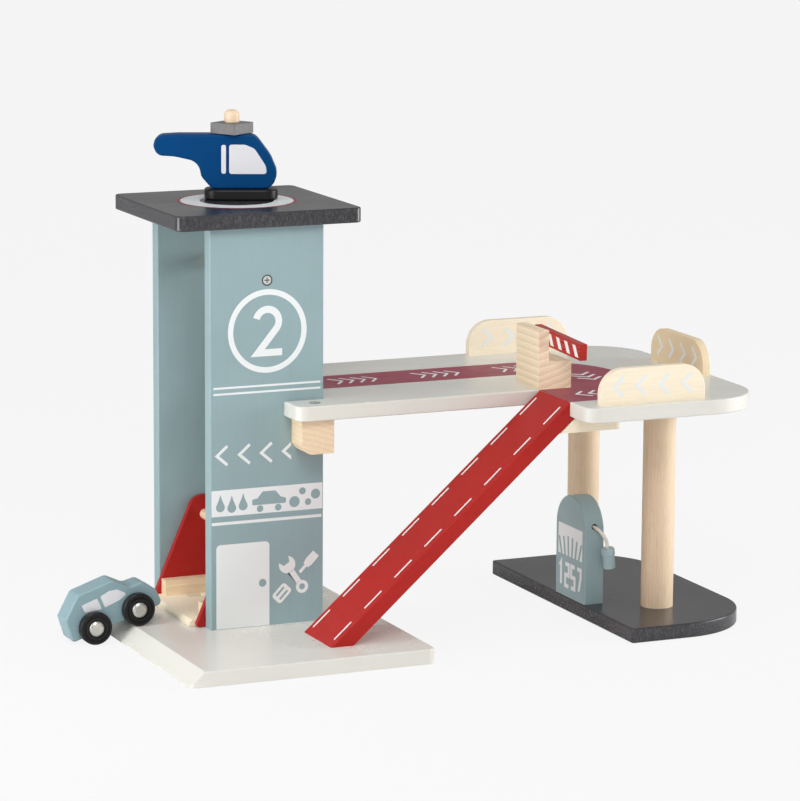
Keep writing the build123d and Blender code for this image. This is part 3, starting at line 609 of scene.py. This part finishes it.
def clip_left(shape, limit):
    """The part of a convex or simple shape left of a vertical line."""
    out = []
    for i, b in enumerate(shape):
        a = shape[i - 1]
        if (a[0] <= limit) != (b[0] <= limit):
            t = (limit - a[0]) / (b[0] - a[0])
            out.append((limit, a[1] + t * (b[1] - a[1])))
        if b[0] <= limit:
            out.append(b)
    return out


LIFT = 0.12  # thickness of a print, mm


def print_on(name, shapes, ink, place, body="garage"):
    """Thin printed layer made of closed outlines; an outline inside another one is a hole."""
    mesh = outline_mesh(name, shapes, LIFT / 2, place)
    mesh.materials.append(ink)
    piece = bpy.data.objects.new(name, mesh)
    bpy.context.scene.collection.objects.link(piece)
    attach(piece, body)


def face_frame(origin, right, up):
    """Matrix from a face's own (right, up, outward) mm to the part's frame, just proud of it."""
    right, up = Vector(right).normalized(), Vector(up).normalized()
    out = right.cross(up)
    turn = Matrix((right, up, out)).transposed().to_4x4()
    return Matrix.Translation(Vector(origin) + out * (LIFT / 2 + 0.01)) @ turn


SIGN_AT = (10.3, 311.3)
PANEL_FRAME = face_frame((0, PANEL_FACE_Y, 0), (1, 0, 0), (0, 0, 1))


def numeral_two(cx, cy, height, width, pen):
    """The digit 2 as one open line of the pen's width."""
    r = width / 2 - pen / 2
    top = cy + height / 2 - pen / 2 - r
    foot = cy - height / 2 + pen / 2
    bow = arc(cx, top, r, 165, -38, 20)
    x0 = cx - width / 2 + pen * 0.2
    line = bow + [(x0 + pen * 0.55, foot), (cx + width / 2, foot)]
    return stroke(line, pen)


def drop(cx, cy, r, tall):
    """A water drop: round below, pointed at the top."""
    side = arc(cx, cy, r, -215, 35, 18)
    neck, waist = r * 0.3, cy + tall * 0.62
    return side + [(cx + neck, waist), (cx, cy + tall), (cx - neck, waist)]


def small_car(cx, cy, s):
    """A plain side view of a car: its body over two wheels."""
    pts = [(-16, -2.4), (-16, 2.6), (-11, 3.6), (-6, 9.5), (6, 9.5), (11, 3.6), (16, 2.2), (16, -2.4)]
    body = rounded([(cx + x * s, cy + y * s) for x, y in pts], [1.2 * s] * len(pts), 4)
    hubs = (cx - 8.6 * s, cx + 8.6 * s)
    return [body] + [circle(x, cy - 5.9 * s, 3.1 * s, 24) for x in hubs]


def panel_prints(white):
    x, z = SIGN_AT
    sign = [circle(x, z, 41.5), circle(x, z, 35.9), numeral_two(x, z, 50.0, 31.0, 7.0)]
    print_on("panel_bay_sign", sign, white, PANEL_FRAME)
    lines = [box(-46.5, 256.3, 66.5, 258.3), box(-46.5, 250.3, 66.5, 252.3)]
    lines.append(box(-48.5, 120.5, 67.8, 123.5))
    print_on("panel_lines", lines, white, PANEL_FRAME)
    tips = (-43.0, -19.4, 3.8, 27.2)
    arrows = [chevron((x, 190.0), 11.0, 19.0, 3.0, -1) for x in tips]
    arrows[3] = clip_left(arrows[3], 35.4)
    print_on("panel_arrows", arrows, white, PANEL_FRAME)
    band = [rounded(box(-48.8, 129.2, 68.8, 155.5), [0.6] * 4, 2)]
    for x, y in ((-39.5, 138.4), (-27.5, 137.0), (-15.5, 138.4)):
        band.append(drop(x, y, 4.7, 13.0))
    band += small_car(12.0, 140.6, 1.12)
    for x, y, r in ((39.0, 138.2, 5.6), (47.5, 148.4, 3.6), (53.5, 137.0, 3.4), (61.5, 144.5, 5.0)):
        band.append(circle(x, y, r, 28))
    print_on("panel_wash_band", band, white, PANEL_FRAME)
    door = rounded(box(-44.0, 15.4, 12.3, 100.6), [0, 0, 4.5, 4.5], 6)
    handle = circle(5.0, 58.7, 4.0, 32)
    print_on("panel_door", [door, handle], white, PANEL_FRAME)
    print_on("panel_tools", tool_shapes(), white, PANEL_FRAME)


# Radii of the dark ring painted as shade in the gap round each screw head, mm.
GAP_SHADE_OUT = 5.5
GAP_SHADE_IN = 4.35
RECESS_DEEP = 0.7
RECESS_ARM = 2.5
RECESS_HALF = 0.45


def screw_gap_shade(dark):
    """Painted shade: a dark ring for the shadowed gap round each sunk screw head, and a dark cross for
    the shadow in its cross recess.
    """
    faces = {
        "tower_screw_front": PANEL_FRAME,
        "tower_screw_back": face_frame((0, PANEL_BACK_Y, 0), (-1, 0, 0), (0, 0, 1)),
        "deck_screw_front": face_frame((0, 0, DECK_TOP), (1, 0, 0), (0, 1, 0)),
        "deck_screw_back": face_frame((0, 0, DECK_TOP), (1, 0, 0), (0, 1, 0)),
    }
    for node, face in faces.items():
        low, high = (Vector(c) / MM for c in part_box(node))
        x, y, _ = face.inverted() @ ((low + high) / 2)
        gap_shade = [circle(x, y, GAP_SHADE_OUT, 40), circle(x, y, GAP_SHADE_IN, 40)]
        print_on(f"seat_{node}", gap_shade, dark, face)
        sunk = face @ Matrix.Translation((0, 0, -RECESS_DEEP))
        arm, half = RECESS_ARM, RECESS_HALF
        cross = [(arm, half), (half, half), (half, arm), (-half, arm), (-half, half), (-arm, half)]
        cross += [(-x, -y) for x, y in cross]
        shape = [(x + a, y + b) for a, b in cross]
        print_on(f"recess_{node}", [shape], dark, sunk)


def tool_shapes():
    """A spanner, and a screwdriver whose shaft shows only past the spanner."""
    def at(x, y):
        # The sign is drawn in its own square, 0..48 wide and 0..56 tall.
        return (16.6 + x, 34.3 + y)

    shapes = []
    # Spanner, from its open jaw upper left to its ring lower right.
    jaw, ring = Vector((14.6, 40.6)), Vector((30.6, 17.0))
    way = (ring - jaw).normalized()
    side = Vector((-way.y, way.x))
    handle_half = 2.9
    head = []
    for turn in range(0, 361 - 84, 12):
        a = math.atan2(-way.y, -way.x) + math.radians(42 + turn)
        head.append(jaw + Vector((math.cos(a), math.sin(a))) * 8.8)
    notch = [jaw - way * 1.0 - side * 3.6, jaw - way * 1.0 + side * 3.6]
    end = head[-1]
    if (end - notch[0]).length < (end - notch[1]).length:
        head += notch
    else:
        head += notch[::-1]
    shapes.append([at(*p) for p in head])
    bar = [jaw + way * 8.2 + side * handle_half, ring - way * 6.1 + side * handle_half]
    bar += [ring - way * 6.1 - side * handle_half, jaw + way * 8.2 - side * handle_half]
    shapes.append([at(*p) for p in bar])
    shapes.append([at(*p) for p in circle(ring.x, ring.y, 6.6, 40)])
    shapes.append([at(*p) for p in circle(ring.x, ring.y, 3.1, 32)])
    # Screwdriver: handle lower left with two flutes, blade to the upper right.
    grip, tip = Vector((6.5, 9.5)), Vector((43.5, 47.5))
    way = (tip - grip).normalized()
    side = Vector((-way.y, way.x))

    def strip(a, b, half, r=0.0):
        p, q = grip + way * a, grip + way * b
        pts = [p + side * half, q + side * half, q - side * half, p - side * half]
        corners = [tuple(v) for v in pts]
        return [at(*v) for v in (rounded(corners, [r] * 4, 5) if r else corners)]

    def slot_in_grip(off):
        p, q = grip + way * -2.5 + side * off, grip + way * 9.5 + side * off
        pts = [p + side * 1.1, q + side * 1.1, q - side * 1.1, p - side * 1.1]
        return [at(*v) for v in rounded([tuple(v) for v in pts], [1.0] * 4, 4)]

    shapes.append(strip(-6.0, 13.0, 6.4, 3.2))
    shapes.append(slot_in_grip(2.6))
    shapes.append(slot_in_grip(-2.6))
    far = (tip - grip).length
    shapes.append(strip(31.0, far - 13.0, 1.6))
    blade = [grip + way * (far - 13.0) + side * 3.2, grip + way * (far - 8.0) + side * 4.6]
    blade += [grip + way * (far + 3.0) + side * 4.2, grip + way * (far + 3.0) - side * 4.2]
    blade += [grip + way * (far - 8.0) - side * 4.6, grip + way * (far - 13.0) - side * 3.2]
    shapes.append([at(*p) for p in blade])
    return shapes


def roof_prints(white, maroon):
    place = face_frame((*ROOF_AT, ROOF_TOP), (1, 0, 0), (0, 1, 0))
    edge = [circle(0, 0, 59.5, 96), circle(0, 0, 56.6, 96)]
    print_on("roof_ring_edge", edge, maroon, place)
    print_on("roof_ring", [circle(0, 0, 56.4, 96), circle(0, 0, 37.0, 80)], white, place)


def deck_prints(white, maroon):
    place = face_frame((0, 0, DECK_TOP), (1, 0, 0), (0, 1, 0))
    road = [(70.6, 34.0), (324.6, 34.0), (324.6, -52.6)]
    road += [(288.3, -52.6), (288.3, -124.0), (338.0, -124.0)]
    road += arc(325.0, -42.0, 82.0, -72, 0, 14) + arc(325.0, 17.0, 82.0, 0, 86, 16)
    road += [(300.0, 99.0), (70.6, 99.0)]
    arrows = []
    for start in (124.0, 216.0, 308.0):
        for k in range(4):
            arrows.append(chevron((start + 12.5 * k, 66.5), 10.0, 29.0, 2.8, 1))
    for k in range(3):
        tip = Vector((366.0, 8.0 - 14.0 * k))
        wings = [(tip.x - 13.0, tip.y + 12.0), tuple(tip), (tip.x + 13.0, tip.y + 12.0)]
        arrows.append(stroke(wings, 3.2))
    for k in range(3):
        arrows.append(chevron((312.0 + 14.0 * k, -89.0), 12.0, 26.0, 3.2, -1))
    print_on("deck_road", [road], maroon, place)
    upper = face_frame((0, 0, DECK_TOP + LIFT + 0.02), (1, 0, 0), (0, 1, 0))
    print_on("deck_arrows", arrows, white, upper)


def ramp_prints(white):
    top = Vector((RAMP_TOP[0], 0, RAMP_TOP[1]))
    foot = Vector((RAMP_FOOT[0], 0, RAMP_FOOT[1]))
    down = (foot - top).normalized()
    length = (foot - top).length
    place = face_frame(top, down, (0, -1, 0))
    dashes = []
    count, dash, wide = 8, 24.0, 2.6
    margin, inset = 9.0, 8.0
    for y in (-RAMP_Y[1] + inset, -RAMP_Y[0] - inset):
        for k in range(count):
            x = margin + k * (length - 2 * margin - dash) / (count - 1)
            dashes.append(box(x, y - wide / 2, x + dash, y + wide / 2))
    print_on("ramp_dashes", dashes, white, place)


RAIL_X = 363.5
RAIL_ARROW_Z = 258.0


def rail_prints(white):
    rise, deep, pen, pitch = 19.5, 9.5, 3.6, 25.2
    tips = [(k - 1.5) * pitch - 5.5 for k in range(4)]
    faces = {
        "front": (face_frame((RAIL_X, -156.0, 0), (1, 0, 0), (0, 0, 1)), 1),
        "back": (face_frame((RAIL_X, 154.4, 0), (1, 0, 0), (0, 0, 1)), -1),
        "far": (face_frame((474.3, 7.5, 0), (0, -1, 0), (0, 0, 1)), -1),
    }
    for side, (place, sign) in faces.items():
        arrows = [chevron((sign * x, RAIL_ARROW_Z), deep, rise, pen, -sign) for x in tips]
        print_on(f"rail_{side}_arrows", arrows, white, place)


def pump_prints(white):
    place = face_frame((PUMP_X, 0, 0), (0, -1, 0), (0, 0, 1))
    x0, x1 = -PUMP_Y[1] + 6.0, -PUMP_Y[0] - 6.0
    top, low = 90.0, 58.0
    middle = (x0 + x1) / 2
    panel = [(x0, top), (x0, low)]
    for k in range(6):
        lean = -25.0 + 10.0 * k
        foot, reach = middle + lean * 0.78, low + 21.5 - abs(lean) * 0.16
        head = foot + lean * 0.24
        panel += [(foot - 1.9, low), (head - 1.9, reach), (head + 1.9, reach), (foot + 1.9, low)]
    panel += [(x1, low), (x1, top)]
    print_on("pump_gauge", [panel], white, place)
    print_on("pump_digits", digit_shapes(x0, x1, 24.0, 51.0), white, place)


# Each digit as a line in a unit square.
DIGIT_LINES = {
    "2": [(0, 1), (1, 1), (1, 0.5), (0, 0.5), (0, 0), (1, 0)],
    "5": [(1, 1), (0, 1), (0, 0.5), (1, 0.5), (1, 0), (0, 0)],
    "7": [(0, 1), (1, 1), (1, 0.62), (0.45, 0)],
    "1": [(0.1, 0.82), (0.5, 1), (0.5, 0)],
}


def digit_shapes(x0, x1, z0, z1):
    pen = 4.3
    step = (x1 - x0) / 4
    shapes = []
    for k, digit in enumerate("1257"):
        left, wide = x0 + k * step + 0.8 + pen / 2, step - 1.6 - pen
        low, tall = z0 + pen / 2, z1 - z0 - pen
        line = [(left + u * wide, low + v * tall) for u, v in DIGIT_LINES[digit]]
        shapes.append(stroke(line, pen))
    return shapes


def arm_prints(white):
    """Slanted stripes across the barrier arm's near face."""
    droop = math.radians(2.4)
    along = Vector((0, -math.cos(droop), -math.sin(droop)))
    up = Vector((0, -math.sin(droop), math.cos(droop)))
    pivot = Vector((299.3, -28.0, 291.8))
    place = face_frame(pivot, along, up)
    stripes = []
    for k in range(4):
        x = 20.0 + 18.5 * k
        stripes.append([(x + 7.5, -5.6), (x + 14.5, -5.6), (x + 7.0, 5.6), (x, 5.6)])
    print_on("barrier_stripes", stripes, white, place, "barrier")


def car_prints(glass):
    ahead = Vector((math.cos(CAR_PITCH), 0, math.sin(CAR_PITCH)))
    up = Vector((-math.sin(CAR_PITCH), 0, math.cos(CAR_PITCH)))
    rear = [(-4.7, 25.4), (12.4, 25.8), (13.8, 13.7), (-3.8, 17.3)]
    front = [(16.3, 26.4), (26.0, 28.0), (34.7, 26.2), (42.9, 18.0), (34.6, 15.2), (17.0, 13.7)]
    shapes = [rounded(rear[::-1], [1.0] * 4, 4), rounded(front[::-1], [1.0, 1.5, 1.5, 3.0, 3.0, 1.0], 4)]
    near = face_frame(CAR_REAR - Vector((0, CAR_HALF, 0)), ahead, up)
    print_on("car_windows_near", shapes, glass, near, "car")
    mirrored = [[(-x, y) for x, y in shape] for shape in shapes]
    far = face_frame(CAR_REAR + Vector((0, CAR_HALF, 0)), -ahead, up)
    print_on("car_windows_far", mirrored, glass, far, "car")


def helicopter_prints(glass):
    ahead = Vector((math.cos(HELI_YAW), math.sin(HELI_YAW), 0))
    side = Vector((-math.sin(HELI_YAW), math.cos(HELI_YAW), 0))
    bar = [(x, SKID_H + z) for x, z in ((-15.4, 15.4), (-10.8, 15.4), (-10.8, 44.2), (-15.4, 44.2))]
    window = [(-7.6, 15.2), (29.8, 15.2), (28.6, 23.5), (17.5, 40.5), (8.0, 44.4), (-7.6, 44.4)]
    window = [(x, SKID_H + z) for x, z in window]
    shapes = [rounded(bar, [2.0] * 4, 5), rounded(window, [2.2, 2.6, 9.0, 9.0, 8.0, 2.4], 6)]
    near = face_frame(HELI_AT - side * HELI_HALF, ahead, (0, 0, 1))
    print_on("helicopter_windows_near", shapes, glass, near, "helicopter")
    mirrored = [[(-x, y) for x, y in shape] for shape in shapes]
    far = face_frame(HELI_AT + side * HELI_HALF, -ahead, (0, 0, 1))
    print_on("helicopter_windows_far", mirrored, glass, far, "helicopter")


# ---- Room and light -------------------------------------------------------------------
def floor():
    mesh = bpy.data.meshes.new("studio_floor")
    reach, z = 30.0, -0.0004
    corners = [(x, y, z) for x, y in box(-reach, -reach, reach, reach)]
    mesh.from_pydata(corners, [], [(0, 1, 2, 3)])
    obj = bpy.data.objects.new("studio_floor", mesh)
    bpy.context.scene.collection.objects.link(obj)
    paint = Paint("studio_floor")
    tree = paint.tree
    cloud = paint.noise(3.0, detail=2.0)
    base = paint.mix(paint.between(cloud, 0.0, 1.0), (0.86, 0.86, 0.86), (0.88, 0.88, 0.88))
    paint.set(Base_Color=base, Roughness=0.9)
    paint.shader.inputs["Specular IOR Level"].default_value = 0.0
    glow = tree.nodes.new("ShaderNodeEmission")
    glow.inputs["Color"].default_value = (0.95, 0.95, 0.95, 1.0)
    path = tree.nodes.new("ShaderNodeLightPath")
    seen = paint.sum(path.outputs["Is Camera Ray"], 0.92, "MULTIPLY")
    blend = tree.nodes.new("ShaderNodeMixShader")
    out = next(n for n in tree.nodes if n.bl_idname == "ShaderNodeOutputMaterial")
    tree.links.new(seen, blend.inputs[0])
    tree.links.new(paint.shader.outputs[0], blend.inputs[1])
    tree.links.new(glow.outputs[0], blend.inputs[2])
    tree.links.new(blend.outputs[0], out.inputs["Surface"])
    mesh.materials.append(paint.material)


def world():
    scene = bpy.context.scene
    scene.world = bpy.data.worlds.new("studio")
    scene.world.use_nodes = True
    tree = scene.world.node_tree
    tree.nodes.clear()
    out = tree.nodes.new("ShaderNodeOutputWorld")
    soft = tree.nodes.new("ShaderNodeBackground")
    coords = tree.nodes.new("ShaderNodeTexCoord")
    split = tree.nodes.new("ShaderNodeSeparateXYZ")
    tree.links.new(coords.outputs["Generated"], split.inputs[0])
    height = tree.nodes.new("ShaderNodeMapRange")
    tree.links.new(split.outputs[2], height.inputs["Value"])
    height.interpolation_type = "SMOOTHSTEP"
    height.inputs["From Min"].default_value = 0.05
    height.inputs["From Max"].default_value = 0.85
    height.inputs["To Min"].default_value = 0.36
    height.inputs["To Max"].default_value = 0.52
    soft.inputs["Color"].default_value = (1.0, 1.0, 1.0, 1.0)
    tree.links.new(height.outputs[0], soft.inputs["Strength"])
    seen = tree.nodes.new("ShaderNodeBackground")
    seen.inputs["Color"].default_value = (0.939, 0.939, 0.939, 1.0)
    path = tree.nodes.new("ShaderNodeLightPath")
    blend = tree.nodes.new("ShaderNodeMixShader")
    tree.links.new(path.outputs["Is Camera Ray"], blend.inputs[0])
    tree.links.new(soft.outputs[0], blend.inputs[1])
    tree.links.new(seen.outputs[0], blend.inputs[2])
    tree.links.new(blend.outputs[0], out.inputs["Surface"])


def lamp(name, place, target, size, power):
    data = bpy.data.lights.new(name, "AREA")
    data.shape = "RECTANGLE"
    data.size, data.size_y = size
    data.energy = power
    obj = bpy.data.objects.new(name, data)
    obj.location = place
    way = Vector(target) - Vector(place)
    obj.rotation_euler = way.to_track_quat("-Z", "Y").to_euler()
    obj.visible_camera = False
    bpy.context.scene.collection.objects.link(obj)


def lights():
    lamp("left_box", (-1.0, -0.1, 0.34), (0.0, 0.06, 0.22), (0.5, 0.6), 6.4)
    lamp("right_box", (2.2, -0.75, 0.5), (0.25, 0.0, 0.2), (1.2, 1.0), 29.0)
    lamp("top_box", (-0.7, -0.4, 2.1), (0.0, 0.0, 0.2), (1.4, 1.4), 4.6)
    lamp("front_box", (-0.9, -2.6, 1.5), (0.1, 0.0, 0.3), (1.2, 1.2), 6.0)
    lamp("near_box", (-0.25, -0.95, 1.1), (0.0, 0.0, 0.46), (0.5, 0.4), 4.8)


# ---- Scene ----------------------------------------------------------------------------
def main():
    bpy.context.scene.view_settings.view_transform = "Standard"
    make_camera()
    make_hose()
    dress_all()
    make_shell()
    make_foot()
    white = plain_ink("white_ink", (232, 236, 236))
    maroon = plain_ink("maroon_ink", (150, 42, 66))
    glass = plain_ink("window_ink", (222, 222, 226), 0.3)
    panel_prints(white)
    screw_gap_shade(plain_ink("screw_shadow", (44, 44, 46)))
    roof_prints(white, maroon)
    deck_prints(white, maroon)
    ramp_prints(white)
    rail_prints(white)
    pump_prints(white)
    arm_prints(white)
    car_prints(glass)
    helicopter_prints(glass)
    floor()
    world()
    lights()


main()
